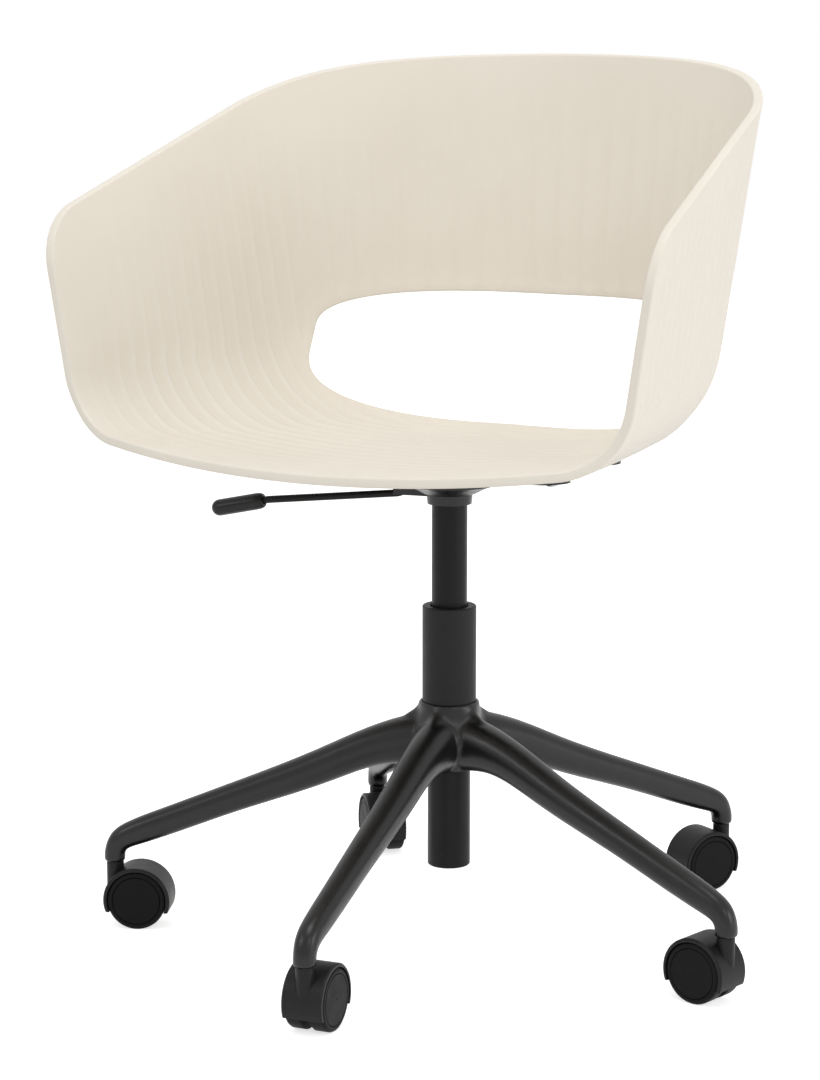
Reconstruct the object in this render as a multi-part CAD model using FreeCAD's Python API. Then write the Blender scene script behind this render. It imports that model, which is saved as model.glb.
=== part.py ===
"""Swivel armchair: a moulded tub shell on a gas lift and a five-star base with hooded twin-wheel castors.

Sizes are millimetres. The origin lies on the floor under the column, +Z is up and the sitter faces -Y.
"""
import FreeCAD
import Part
import math
import os

Vector = FreeCAD.Vector
Z_AXIS = Vector(0, 0, 1)
CENTRE = Vector(0, 0, 0)

# Fits: a running gap per side for what turns or slides, a seating gap for what is pressed or glued home
RUNNING_GAP = 0.05
SEATING_GAP = 0.03
CLEARANCE = 0.3

# Shell: the outer face of the wall in plan is an ellipse round the back that runs into straight flared sides
SHELL_WALL = 8.8
SHELL_DATUM_Z = 430.0
SHELL_HALF_WIDTH = 220.3
SHELL_SIDE_LEAN = 0.158
SHELL_BACK_Y = 222.1
SHELL_BACK_LEAN = 0.06
SHELL_SIDE_START_Y = 60.7
SHELL_SIDE_FLARE = 0.171
SHELL_CORNER_FRONT_RADIUS = 56.3
SHELL_CORNER_BACK_RADIUS = 152.6

# Seat: the underside is dished both ways and lowest over the column
SEAT_UNDER_Z = 459.5
SEAT_LOW_Y = 200.0
SEAT_CROSS_RADIUS = 1670.0
SEAT_LONG_RADIUS = 9400.0
SEAT_FRONT_Y = -210.1
SEAT_FRONT_LEAN = -0.025
SEAT_FRONT_BOW = 53.4
SEAT_FRONT_HALF_SPAN = 275.0
SEAT_FRONT_BLEND = 60.0

# Rim: seen from the side it falls in a straight line from the back to the rounded arm tips
RIM_KNEE_Y = 176.5
RIM_KNEE_Z = 820.2
RIM_ARM_SLOPE = 0.3506
RIM_BACK_SLOPE = 0.123
RIM_KNEE_RADIUS = 480.0
ARM_TIP_RADIUS = 60.0

# Opening between the back and the seat: full round above, squarer below, cut along a slightly falling axis
OPENING_Y = 193.5
OPENING_Z = 530.7
OPENING_TILT = 14.0
OPENING_HALF_WIDTH = 213.0
OPENING_HALF_HEIGHT = 68.3
OPENING_TOP_POWER = 2.5
OPENING_LOW_POWER = 4.6
OPENING_SILL_SHARE = 0.77
OPENING_SILL_LAND = 0.5

# Spider under the seat: a dished plate with four arms, a flared neck and the conical socket for the lift
SPIDER_PLATE = 16.0
SPIDER_DISC_RADIUS = 58.0
SPIDER_ARM_WIDTH = 34.0
SPIDER_FRONT_X = 128.0
SPIDER_FRONT_Y = -45.0
SPIDER_REAR_X = 106.0
SPIDER_REAR_Y = 110.0
SPIDER_INNER_BLEND = 22.0
SPIDER_SLOT_ROOF = 5.0
SOCKET_BOTTOM_Z = 417.0
SOCKET_BOTTOM_RADIUS = 20.8
SOCKET_TOP_Z = 426.0
SOCKET_TOP_RADIUS = 21.6
NECK_FLARE = ((25.6, 427.2), (36.0, 432.6), (46.0, 436.0))
NECK_TOP_RADIUS = 50.0
VALVE_CHAMBER_RADIUS = 12.0

# Screws that hold the shell on the spider
SCREW_RADIUS = 3.0
SCREW_HEAD_RADIUS = 6.5
SCREW_HEAD_HEIGHT = 3.4
SCREW_HEAD_CHAMFER = 1.5
SCREW_BITE = 5.5
SPOT_FACE_DEPTH = 1.2

# Lift: gas cylinder over a hanging piston rod, in a standpipe that is pressed into the hub
CYLINDER_RADIUS = 16.65
CYLINDER_WALL = 2.0
CYLINDER_BOTTOM_Z = 178.0
CYLINDER_ROOF_Z = 415.0
CONE_TOP_Z = 433.0
CONE_TOP_RADIUS = 14.2
LIP_HEIGHT = 2.0
SEAL_HEIGHT = 12.0
ROD_RADIUS = 5.0
ROD_TIP_CHAMFER = 1.0
ROD_SHOULDER_RADIUS = 9.0
ROD_SHOULDER_HEIGHT = 3.0
PISTON_BOTTOM_Z = 214.0
PISTON_HEIGHT = 12.0
PISTON_GROOVE_DEPTH = 1.5
VALVE_PIN_RADIUS = 3.0
VALVE_PIN_CHAMFER = 1.0
VALVE_PIN_LENGTH = 12.0

# Standpipe, its foot, its bush and the cover sleeve
STANDPIPE_RADIUS = 20.2
STANDPIPE_TOP_RADIUS = 20.8
STANDPIPE_BORE_RADIUS = 18.2
STANDPIPE_BOTTOM_Z = 68.8
STANDPIPE_TOP_Z = 314.0
STANDPIPE_CHAMFER = 1.0
FOOT_LIP_RADIUS = 12.0
FOOT_LIP_HEIGHT = 3.2
FOOT_THICKNESS = 5.0
BEARING_HEIGHT = 7.0
BEARING_RADIUS = 15.0
BEARING_CAGE_STEP = 1.5
CLIP_RADIUS = 8.5
CLIP_THICKNESS = 1.4
CLIP_GROOVE_RADIUS = 3.8
CLIP_MOUTH = 5.3
BUSH_BOTTOM_Z = 224.0
BUSH_FLANGE_HEIGHT = 2.0
SLEEVE_RADIUS = 25.4
SLEEVE_TOP_Z = 320.0
SLEEVE_MOUTH_RADIUS = 18.0
SLEEVE_CHAMFER = 0.8

# Lever: a bent rod through the spider's neck, on a cross pin, with a round grip
LEVER_ANGLE = 190.0
LEVER_ROD_RADIUS = 3.5
LEVER_TIP = (-4.0, 441.5)
LEVER_BEND_IN = (14.0, 440.8)
LEVER_BEND_OUT = (50.0, 424.0)
LEVER_GRIP_START = (182.0, 410.8)
LEVER_GRIP_END = (239.5, 398.8)
LEVER_BEND_RADIUS = 16.0
LEVER_PIVOT_R = 34.0
LEVER_PIN_RADIUS = 1.5
LEVER_BOSS_WIDTH = 22.0
LEVER_BOSS_REACH = 52.0
LEVER_BOSS_BOTTOM_Z = 424.0
LEVER_SLOT_GAP = 0.8
GRIP_RADIUS = 8.0
GRIP_TIP_RADIUS = 3.4
GRIP_LEAD = 6.0

# Base: a hub with five falling arms that turn down into castor sockets
ARM_COUNT = 5
BASE_FIRST_ANGLE = 203.6
STEM_CIRCLE_RADIUS = 322.5
HUB_BOTTOM_Z = 163.0
HUB_TOP_Z = 229.0
HUB_RADIUS = 27.6
HUB_CHAMFER = 3.5
HUB_RING_RADIUS = 28.8
HUB_RING_HEIGHT = 9.0
HUB_RING_STEP = 3.0
HUB_RING_CHAMFER = 1.0
HUB_RECESS_DEPTH = 4.0
SOCKET_RADIUS = 10.15
SOCKET_STRAIGHT = 9.0
SOCKET_BORE_DEPTH = 21.0
SOCKET_HEADROOM = 2.0
ARM_SHOULDER_RADIUS = 62.0
ARM_SHOULDER_Z = 184.8
ARM_ELBOW_BACK = 45.0
ARM_ELBOW_RISE = 38.3
ARM_SECTION_POWER = 2.3

# Arm sections, each ending with half width and half height. In the hub they start with the distance from
# the column, the drop below the hub's middle and the fall. On the slope they start with the share of the way
# from shoulder to elbow and the extra fall; past the elbow, with the distance back from the stem and the
# extra fall; in the turn, with the distance back from the stem, the height over the socket and the fall.
ARM_ROOT_SECTIONS = ((12.0, 3.0, 0.0, 22.0, 27.0), (36.0, 7.0, 9.0, 20.5, 24.0))
ARM_SLOPE_SECTIONS = ((0.0, -2.4, 18.0, 20.0), (0.258, 0.0, 15.5, 16.8), (0.685, 0.0, 13.2, 14.0),
                      (1.0, 0.0, 11.8, 13.4))
ARM_ELBOW_SECTION = (20.0, 5.0, 11.2, 12.6)
ARM_TURN_SECTION = (6.0, 20.5, 55.0, 10.6, 11.6)

# Castors: twin wheels under a round hood that trails the stem
WHEEL_RADIUS = 28.2
WHEEL_WIDTH = 15.4
WHEEL_CHAMFER = 2.6
WHEEL_RING_RADIUS = 23.0
WHEEL_RING_DEPTH = 0.7
AXLE_RADIUS = 3.0
AXLE_BITE = 11.5
HOOD_WALL = 3.5
HOOD_WHEEL_GAP = 0.5
HOOD_WEB = 7.0
HOOD_DROP = 11.5
HOOD_SIDE_CHAMFER = 1.4
HOOD_SOCKET_GAP = 2.6
CASTOR_TRAIL = 23.0
NECK_OUTER_RADIUS = 8.25
STEM_RADIUS = 5.5
STEM_CHAMFER = 1.0
STEM_FLANGE = 1.0
STEM_FLANGE_RADIUS = 7.75
STEM_ROOT_WALL = 1.2

# Values that follow from the sizes above
CUT_OVERRUN = 60.0
PLATE_TOP_Z = SEAT_UNDER_Z - CLEARANCE
PLATE_UNDER_Z = PLATE_TOP_Z - SPIDER_PLATE
CYLINDER_BORE_RADIUS = CYLINDER_RADIUS - CYLINDER_WALL
FOOT_Z = STANDPIPE_BOTTOM_Z + FOOT_LIP_HEIGHT
BEARING_Z = FOOT_Z + FOOT_THICKNESS
SHOULDER_Z = BEARING_Z + BEARING_HEIGHT
HUB_SEAT_Z = HUB_TOP_Z - HUB_RECESS_DEPTH
AXLE_Z = WHEEL_RADIUS
HOOD_BORE_RADIUS = WHEEL_RADIUS + HOOD_WHEEL_GAP
HOOD_RADIUS = HOOD_BORE_RADIUS + HOOD_WALL
HOOD_HALF_WIDTH = HOOD_WEB / 2 + CLEARANCE + WHEEL_WIDTH
SOCKET_Z = AXLE_Z + HOOD_RADIUS + HOOD_SOCKET_GAP
NECK_TOP_Z = SOCKET_Z - STEM_FLANGE
STEM_ROOT_Z = AXLE_Z + math.sqrt(HOOD_BORE_RADIUS ** 2 - (CASTOR_TRAIL - STEM_RADIUS) ** 2) + STEM_ROOT_WALL


def cylinder(radius, bottom, top, centre=(0.0, 0.0)):
    """Upright cylinder between two heights."""
    return Part.makeCylinder(radius, top - bottom, Vector(centre[0], centre[1], bottom), Z_AXIS)


def revolve_profile(points):
    """Solid of revolution about the column axis from (radius, height) points."""
    wire = Part.makePolygon([Vector(r, 0, z) for r, z in points + points[:1]])
    return Part.Face(wire).revolve(CENTRE, Z_AXIS, 360)


def prism(points, direction):
    """Straight prism on a polygon."""
    return Part.Face(Part.makePolygon(points + points[:1])).extrude(direction)


def round_edges(solid, radius, point, along):
    """Round the straight edge of a prism that passes through a point and runs along a direction."""
    for edge in solid.Edges:
        near = edge.distToShape(Part.Vertex(point))[0] < SEATING_GAP
        if near and abs(edge.tangentAt(edge.FirstParameter).dot(along)) > 0.99:
            return solid.makeFillet(radius, [edge])
    raise ValueError("no edge to round at %s" % point)


def wall_point(turn, z, inset):
    """Right-hand wall in plan: turn 0 is the back centre, a right angle starts the straight side."""
    rise = z - SHELL_DATUM_Z
    half = SHELL_HALF_WIDTH + SHELL_SIDE_LEAN * rise - inset
    back = SHELL_BACK_Y + SHELL_BACK_LEAN * rise - inset
    reach = back - SHELL_SIDE_START_Y
    span = half - SHELL_SIDE_FLARE * reach
    y = SHELL_SIDE_START_Y + reach * math.cos(turn)
    return Vector(span * math.sin(turn) + SHELL_SIDE_FLARE * (back - y), y, z)


def wall_outline(z, inset):
    """Closed plan outline at one height: the U of the walls, shut by a straight line ahead of the seat."""
    front = SEAT_FRONT_Y - SEAT_FRONT_BOW - CUT_OVERRUN
    quarter = [wall_point(math.radians(angle), z, inset) for angle in (0, 11, 22, 33, 45, 56, 67, 78, 90)]
    side = quarter[-1]
    run = side.y - front
    steps = [run * share for share in (0.15, 0.35, 0.6, 0.8, 1.0)]
    right = quarter + [Vector(side.x + SHELL_SIDE_FLARE * step, side.y - step, z) for step in steps]
    left = [Vector(-p.x, p.y, p.z) for p in right[:0:-1]]
    curve = Part.BSplineCurve()
    curve.interpolate(Points=left + right, InitialTangent=Vector(SHELL_SIDE_FLARE, 1, 0),
                      FinalTangent=Vector(SHELL_SIDE_FLARE, -1, 0))
    return Part.Wire([curve.toShape(), Part.LineSegment(right[-1], left[0]).toShape()])


def above_dish(lowest):
    """Everything above the seat's double-curved surface, which is lowest behind the seat's middle."""
    half = SEAT_FRONT_HALF_SPAN * 1.5
    top = lowest + SEAT_CROSS_RADIUS / 3
    edge_z = lowest + SEAT_CROSS_RADIUS - math.sqrt(SEAT_CROSS_RADIUS ** 2 - half ** 2)
    left, right = Vector(-half, SEAT_LOW_Y, edge_z), Vector(half, SEAT_LOW_Y, edge_z)
    arc = Part.Arc(left, Vector(0, SEAT_LOW_Y, lowest), right).toShape()
    lid = Part.makePolygon([right, Vector(half, SEAT_LOW_Y, top), Vector(-half, SEAT_LOW_Y, top), left])
    face = Part.Face(Part.Wire([arc] + lid.Edges))
    pivot = Vector(0, SEAT_LOW_Y, lowest + SEAT_LONG_RADIUS)
    sweep = math.degrees(3 * half / SEAT_LONG_RADIUS)
    face.rotate(pivot, Vector(1, 0, 0), -sweep / 2)
    return face.revolve(pivot, Vector(1, 0, 0), sweep)


def half_tub(inset, top):
    """Right half of the tub, with the corner between seat and wall rolled wider toward the back."""
    floor = SHELL_DATUM_Z - CUT_OVERRUN
    block = Part.makeLoft([wall_outline(floor, inset), wall_outline(top, inset)], True, True)
    block = block.common(above_dish(SEAT_UNDER_Z + inset))
    box = block.BoundBox
    right = Part.makeBox(box.XMax, box.YLength, box.ZLength, Vector(0, box.YMin, box.ZMin))
    block = block.common(right).Solids[0]
    front = box.YMin + SHELL_WALL
    low = SEAT_UNDER_Z + 2 * CUT_OVERRUN
    edges = [e for e in block.Edges if e.BoundBox.ZMax < low and e.BoundBox.YMax > front]
    corner = [e for e in edges if e.BoundBox.XMax > SHELL_WALL]
    radii = [SHELL_CORNER_FRONT_RADIUS - inset, SHELL_CORNER_BACK_RADIUS - inset]
    if corner[0].valueAt(corner[0].FirstParameter).x < SHELL_WALL:
        radii.reverse()
    return block.makeFillet(*radii, corner)


def tub(inset, top):
    """Filled tub: leaning walls over the dished seat, the same on both sides."""
    half = half_tub(inset, top)
    return half.fuse(half.mirror(CENTRE, Vector(1, 0, 0)))


def rim_trim():
    """Prism across the chair that keeps what lies under the rim, with the knee and the arm tips rounded."""
    half = SEAT_FRONT_HALF_SPAN * 1.5
    far = SHELL_BACK_Y + 2 * CUT_OVERRUN
    ahead = SEAT_FRONT_Y - SEAT_FRONT_BOW - 2 * CUT_OVERRUN
    low = SHELL_DATUM_Z - 2 * CUT_OVERRUN
    tip_z = RIM_KNEE_Z
    for _ in range(20):
        tip_y = SEAT_FRONT_Y + SEAT_FRONT_LEAN * (tip_z - SHELL_DATUM_Z)
        tip_z = RIM_KNEE_Z + RIM_ARM_SLOPE * (tip_y - RIM_KNEE_Y)
    step_z = tip_z - 2 * ARM_TIP_RADIUS
    step_y = SEAT_FRONT_Y + SEAT_FRONT_LEAN * (step_z - SHELL_DATUM_Z)
    back_z = RIM_KNEE_Z + RIM_BACK_SLOPE * (far - RIM_KNEE_Y)
    outline = [(ahead, low), (far, low), (far, back_z), (RIM_KNEE_Y, RIM_KNEE_Z), (tip_y, tip_z),
               (step_y, step_z), (ahead, step_z)]
    body = prism([Vector(-half, y, z) for y, z in outline], Vector(2 * half, 0, 0))
    body = round_edges(body, RIM_KNEE_RADIUS, Vector(0, RIM_KNEE_Y, RIM_KNEE_Z), Vector(1, 0, 0))
    return round_edges(body, ARM_TIP_RADIUS, Vector(0, tip_y, tip_z), Vector(1, 0, 0))


def front_trim():
    """Upright prism that keeps what lies behind the seat's bowed front and the arms' front edges."""
    half = SEAT_FRONT_HALF_SPAN * 1.5
    far = SHELL_BACK_Y + 2 * CUT_OVERRUN
    low = SHELL_DATUM_Z - 2 * CUT_OVERRUN
    height = RIM_KNEE_Z - low + 2 * CUT_OVERRUN
    y = SEAT_FRONT_Y + SEAT_FRONT_LEAN * (low - SHELL_DATUM_Z)
    left, right = Vector(-SEAT_FRONT_HALF_SPAN, y, low), Vector(SEAT_FRONT_HALF_SPAN, y, low)
    bow = Part.Arc(left, Vector(0, y - SEAT_FRONT_BOW, low), right).toShape()
    rest = Part.makePolygon([right, Vector(half, y, low), Vector(half, far, low), Vector(-half, far, low),
                             Vector(-half, y, low), left])
    upward = Vector(0, SEAT_FRONT_LEAN * height, height)
    body = Part.Face(Part.Wire([bow] + rest.Edges)).extrude(upward)
    along = Vector(upward).normalize()
    body = round_edges(body, SEAT_FRONT_BLEND, left, along)
    return round_edges(body, SEAT_FRONT_BLEND, right, along)


def opening_cut():
    """Prism of the oval back opening."""
    tilt = math.radians(OPENING_TILT)
    up = Vector(0, math.sin(tilt), math.cos(tilt))
    through = Vector(0, math.cos(tilt), -math.sin(tilt))
    start = Vector(0, OPENING_Y, OPENING_Z) - through * (2 * CUT_OVERRUN)
    points = []
    for i in range(24):
        angle = math.radians(15 * i)
        power = 2 / (OPENING_TOP_POWER if math.sin(angle) > 0 else OPENING_LOW_POWER)
        across = math.copysign(abs(math.cos(angle)) ** power, math.cos(angle))
        rise = math.copysign(abs(math.sin(angle)) ** power, math.sin(angle))
        points.append(start + Vector(OPENING_HALF_WIDTH * across, 0, 0) + up * (OPENING_HALF_HEIGHT * rise))
    curve = Part.BSplineCurve()
    curve.interpolate(Points=points, PeriodicFlag=True)
    return Part.Face(Part.Wire([curve.toShape()])).extrude(through * (4 * CUT_OVERRUN))


def opening_sill_cut():
    """Upright prism behind the opening's lower edge, so that the seat ends there in a square sill."""
    tilt = math.radians(OPENING_TILT)
    low = SEAT_UNDER_Z - CUT_OVERRUN
    points = []
    for i in range(-8, 9):
        share = OPENING_SILL_SHARE * i / 8
        x = OPENING_HALF_WIDTH * share
        drop = OPENING_HALF_HEIGHT * (1 - abs(share) ** OPENING_LOW_POWER) ** (1 / OPENING_LOW_POWER)
        near, far = -2 * CUT_OVERRUN, 2 * CUT_OVERRUN
        for _ in range(40):
            reach = (near + far) / 2
            y = OPENING_Y - drop * math.sin(tilt) + reach * math.cos(tilt)
            z = OPENING_Z - drop * math.cos(tilt) - reach * math.sin(tilt)
            above = z > dish_height(x, y, SEAT_UNDER_Z + SHELL_WALL)
            near, far = (reach, far) if above else (near, reach)
        points.append(Vector(x, y + OPENING_SILL_LAND, low))
    curve = Part.BSplineCurve()
    curve.interpolate(Points=points)
    behind = Vector(0, 4 * CUT_OVERRUN, 0)
    sides = Part.makePolygon([points[-1], points[-1] + behind, points[0] + behind, points[0]])
    outline = Part.Wire([curve.toShape(), *sides.Edges])
    return Part.Face(outline).extrude(Vector(0, 0, 2 * CUT_OVERRUN))


def fixing_points():
    """Plan positions of the four shell screws, at the ends of the spider's arms."""
    front = [(side * SPIDER_FRONT_X, SPIDER_FRONT_Y) for side in (-1, 1)]
    rear = [(side * SPIDER_REAR_X, SPIDER_REAR_Y) for side in (-1, 1)]
    return front + rear


def dish_height(x, y, lowest):
    """Height of the dished surface over a plan point."""
    ring = SEAT_LONG_RADIUS - SEAT_CROSS_RADIUS + math.sqrt(SEAT_CROSS_RADIUS ** 2 - x ** 2)
    return lowest + SEAT_LONG_RADIUS - math.sqrt(ring ** 2 - (y - SEAT_LOW_Y) ** 2)


def seat_shell():
    """One-piece moulding: seat, arms and back in one wall, open at the back."""
    top = RIM_KNEE_Z + CUT_OVERRUN
    shell = tub(0.0, top).cut(tub(SHELL_WALL, top + CUT_OVERRUN))
    shell = shell.common(rim_trim()).common(front_trim()).cut(opening_cut()).cut(opening_sill_cut())
    for x, y in fixing_points():
        under = dish_height(x, y, SEAT_UNDER_Z)
        low, high = under - 2 * SCREW_BITE, under + SCREW_BITE
        shell = shell.cut(cylinder(SCREW_RADIUS + SEATING_GAP, low, high, (x, y)))
    return shell.Solids[0]


def arm_plate(x, y):
    """Upright prism of one spider arm, from the column to a rounded end round its screw."""
    length = math.hypot(x, y)
    half = SPIDER_ARM_WIDTH / 2
    low, high = SEAT_UNDER_Z - CUT_OVERRUN / 2, SEAT_UNDER_Z + CUT_OVERRUN / 2
    bar = Part.makeBox(length, SPIDER_ARM_WIDTH, high - low, Vector(0, -half, low))
    bar = bar.fuse(cylinder(half, low, high, (length, 0)))
    bar.rotate(CENTRE, Z_AXIS, math.degrees(math.atan2(y, x)))
    return bar


def spider_plate():
    """Dished plate: a disc and four arms, blended where they meet, pressed to the curve of the seat."""
    low, high = SEAT_UNDER_Z - CUT_OVERRUN / 2, SEAT_UNDER_Z + CUT_OVERRUN / 2
    blank = cylinder(SPIDER_DISC_RADIUS, low, high)
    blank = blank.multiFuse([arm_plate(x, y) for x, y in fixing_points()]).removeSplitter()
    upright = [e for e in blank.Edges if e.BoundBox.ZLength > CUT_OVERRUN / 2]
    inner = [e for e in upright if math.hypot(e.CenterOfMass.x, e.CenterOfMass.y) < SPIDER_DISC_RADIUS + 1]
    blank = blank.makeFillet(SPIDER_INNER_BLEND, inner)
    return blank.common(above_dish(PLATE_UNDER_Z)).cut(above_dish(PLATE_TOP_Z))


def lever_frame(r, z, side=0.0):
    """Point in the lever's upright plane, by distance from the column, height and sideways offset."""
    cosine, sine = math.cos(math.radians(LEVER_ANGLE)), math.sin(math.radians(LEVER_ANGLE))
    return Vector(r * cosine - side * sine, r * sine + side * cosine, z)


def lever_line(r):
    """Height of the lever rod's inner slope at a distance from the column."""
    (r0, z0), (r1, z1) = LEVER_BEND_IN, LEVER_BEND_OUT
    return z0 + (z1 - z0) * (r - r0) / (r1 - r0)


def lever_box(start, end, width, bottom, top):
    """Upright block along the lever's plane."""
    half = width / 2
    outline = [lever_frame(start, bottom, -half), lever_frame(end, bottom, -half),
               lever_frame(end, bottom, half), lever_frame(start, bottom, half)]
    return prism(outline, Vector(0, 0, top - bottom))


def seat_spider():
    """Cast spider: dished plate, flared neck with the conical socket, and the boss for the lever."""
    neck = revolve_profile([(0, SOCKET_BOTTOM_Z), (SOCKET_BOTTOM_RADIUS, SOCKET_BOTTOM_Z),
                            (SOCKET_TOP_RADIUS, SOCKET_TOP_Z), *NECK_FLARE, (NECK_TOP_RADIUS, SEAT_UNDER_Z),
                            (0, SEAT_UNDER_Z)])
    boss = lever_box(0, LEVER_BOSS_REACH, LEVER_BOSS_WIDTH, LEVER_BOSS_BOTTOM_Z, SEAT_UNDER_Z)
    boss = boss.cut(cylinder(SOCKET_TOP_RADIUS, SOCKET_BOTTOM_Z, SOCKET_TOP_Z))
    body = neck.fuse(boss).cut(above_dish(PLATE_TOP_Z)).fuse(spider_plate()).removeSplitter()
    high = SEAT_UNDER_Z + CUT_OVERRUN
    socket = revolve_profile([(0, SOCKET_BOTTOM_Z), (CYLINDER_RADIUS + SEATING_GAP, SOCKET_BOTTOM_Z),
                              (CONE_TOP_RADIUS + SEATING_GAP, CONE_TOP_Z),
                              (VALVE_CHAMBER_RADIUS, CONE_TOP_Z), (VALVE_CHAMBER_RADIUS, high), (0, high)])
    slot_width = 2 * (LEVER_ROD_RADIUS + LEVER_SLOT_GAP)
    slot_end = LEVER_BOSS_REACH + CUT_OVERRUN
    slot_top = PLATE_TOP_Z - SPIDER_SLOT_ROOF
    slot = lever_box(0, slot_end, slot_width, NECK_FLARE[0][1], slot_top)
    mouth = lever_box(NECK_FLARE[0][0], slot_end, slot_width, SOCKET_BOTTOM_Z - CUT_OVERRUN, slot_top)
    body = body.cut(socket).cut(slot).cut(mouth)
    body = body.cut(lever_pin_shape(LEVER_PIN_RADIUS + SEATING_GAP, CUT_OVERRUN))
    for x, y in fixing_points():
        hole = cylinder(SCREW_RADIUS + SEATING_GAP, SEAT_UNDER_Z - CUT_OVERRUN, high, (x, y))
        seat_z = screw_seat(x, y)
        face = cylinder(SCREW_HEAD_RADIUS + CLEARANCE, seat_z - CUT_OVERRUN / 2, seat_z, (x, y))
        body = body.cut(hole).cut(face)
    return body.Solids[0]


def screw_seat(x, y):
    """Height of the flat spot face under a spider arm, a little into the plate."""
    return dish_height(x, y, PLATE_UNDER_Z) + SPOT_FACE_DEPTH


def seat_screws():
    """Four pan-head screws, from below through the spider's arms into the shell."""
    screws = []
    for x, y in fixing_points():
        seat_z = screw_seat(x, y)
        tip = dish_height(x, y, SEAT_UNDER_Z) + SCREW_BITE - CLEARANCE
        low = seat_z - SCREW_HEAD_HEIGHT
        screw = revolve_profile([(0, low), (SCREW_HEAD_RADIUS - SCREW_HEAD_CHAMFER, low),
                                 (SCREW_HEAD_RADIUS, low + SCREW_HEAD_CHAMFER), (SCREW_HEAD_RADIUS, seat_z),
                                 (SCREW_RADIUS, seat_z), (SCREW_RADIUS, tip), (0, tip)])
        screw.translate(Vector(x, y, 0))
        screws.append(screw)
    return Part.Compound(screws)


def gas_cylinder():
    """Tube with a conical top for the spider's socket, a bore for the valve pin and a rolled lip below."""
    bore, wall_r = CYLINDER_BORE_RADIUS, CYLINDER_RADIUS
    pin = VALVE_PIN_RADIUS + RUNNING_GAP
    lip = bore - LIP_HEIGHT
    return revolve_profile([(lip, CYLINDER_BOTTOM_Z), (wall_r, CYLINDER_BOTTOM_Z), (wall_r, SOCKET_BOTTOM_Z),
                            (CONE_TOP_RADIUS, CONE_TOP_Z), (pin, CONE_TOP_Z), (pin, CYLINDER_ROOF_Z),
                            (bore, CYLINDER_ROOF_Z), (bore, CYLINDER_BOTTOM_Z + LIP_HEIGHT),
                            (lip, CYLINDER_BOTTOM_Z + LIP_HEIGHT)])


def rod_seal():
    """Guide and seal ring that closes the cylinder round the piston rod."""
    bottom = CYLINDER_BOTTOM_Z + LIP_HEIGHT
    ring = cylinder(CYLINDER_BORE_RADIUS - SEATING_GAP, bottom, bottom + SEAL_HEIGHT)
    return ring.cut(cylinder(ROD_RADIUS + RUNNING_GAP, bottom, bottom + SEAL_HEIGHT))


def valve_pin():
    """Release pin in the cylinder's top, with a bevelled head under the lever."""
    top = LEVER_TIP[1] - LEVER_ROD_RADIUS - CLEARANCE
    low = top - VALVE_PIN_LENGTH
    return revolve_profile([(0, low), (VALVE_PIN_RADIUS, low), (VALVE_PIN_RADIUS, top - VALVE_PIN_CHAMFER),
                            (VALVE_PIN_RADIUS - VALVE_PIN_CHAMFER, top), (0, top)])


def piston_rod():
    """Hanging rod: a shoulder on the thrust bearing, a clip groove below, the piston's seat on top."""
    top = PISTON_BOTTOM_Z + PISTON_HEIGHT
    groove_top = FOOT_Z
    groove_low = groove_top - CLIP_THICKNESS - CLEARANCE
    shoulder_top = SHOULDER_Z + ROD_SHOULDER_HEIGHT
    tip = groove_low - ROD_TIP_CHAMFER
    return revolve_profile([(0, tip), (ROD_RADIUS - ROD_TIP_CHAMFER, tip), (ROD_RADIUS, groove_low),
                            (CLIP_GROOVE_RADIUS, groove_low), (CLIP_GROOVE_RADIUS, groove_top),
                            (ROD_RADIUS, groove_top), (ROD_RADIUS, SHOULDER_Z),
                            (ROD_SHOULDER_RADIUS, SHOULDER_Z), (ROD_SHOULDER_RADIUS, shoulder_top),
                            (ROD_RADIUS, shoulder_top), (ROD_RADIUS, top), (0, top)])


def piston():
    """Piston with a seal groove, fixed on the rod's upper end."""
    r, low, top = CYLINDER_BORE_RADIUS - RUNNING_GAP, PISTON_BOTTOM_Z, PISTON_BOTTOM_Z + PISTON_HEIGHT
    third = PISTON_HEIGHT / 3
    eye, groove = ROD_RADIUS + SEATING_GAP, r - PISTON_GROOVE_DEPTH
    return revolve_profile([(eye, low), (r, low), (r, low + third), (groove, low + third),
                            (groove, top - third), (r, top - third), (r, top), (eye, top)])


def thrust_bearing():
    """Two washers with a ball cage between them, one stack under the rod's shoulder."""
    eye, r, low, top = ROD_RADIUS + CLEARANCE, BEARING_RADIUS, BEARING_Z, SHOULDER_Z
    washer, cage = BEARING_HEIGHT / 4, r - BEARING_CAGE_STEP
    return revolve_profile([(eye, low), (r, low), (r, low + washer), (cage, low + washer),
                            (cage, top - washer), (r, top - washer), (r, top), (eye, top)])


def rod_clip():
    """Open spring clip in the rod's groove, under the standpipe's foot."""
    low, top = FOOT_Z - CLIP_THICKNESS, FOOT_Z
    clip = cylinder(CLIP_RADIUS, low, top).cut(cylinder(CLIP_GROOVE_RADIUS + SEATING_GAP, low, top))
    return clip.cut(Part.makeBox(CLIP_RADIUS, CLIP_MOUTH, CLIP_THICKNESS, Vector(0, -CLIP_MOUTH / 2, low)))


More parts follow.
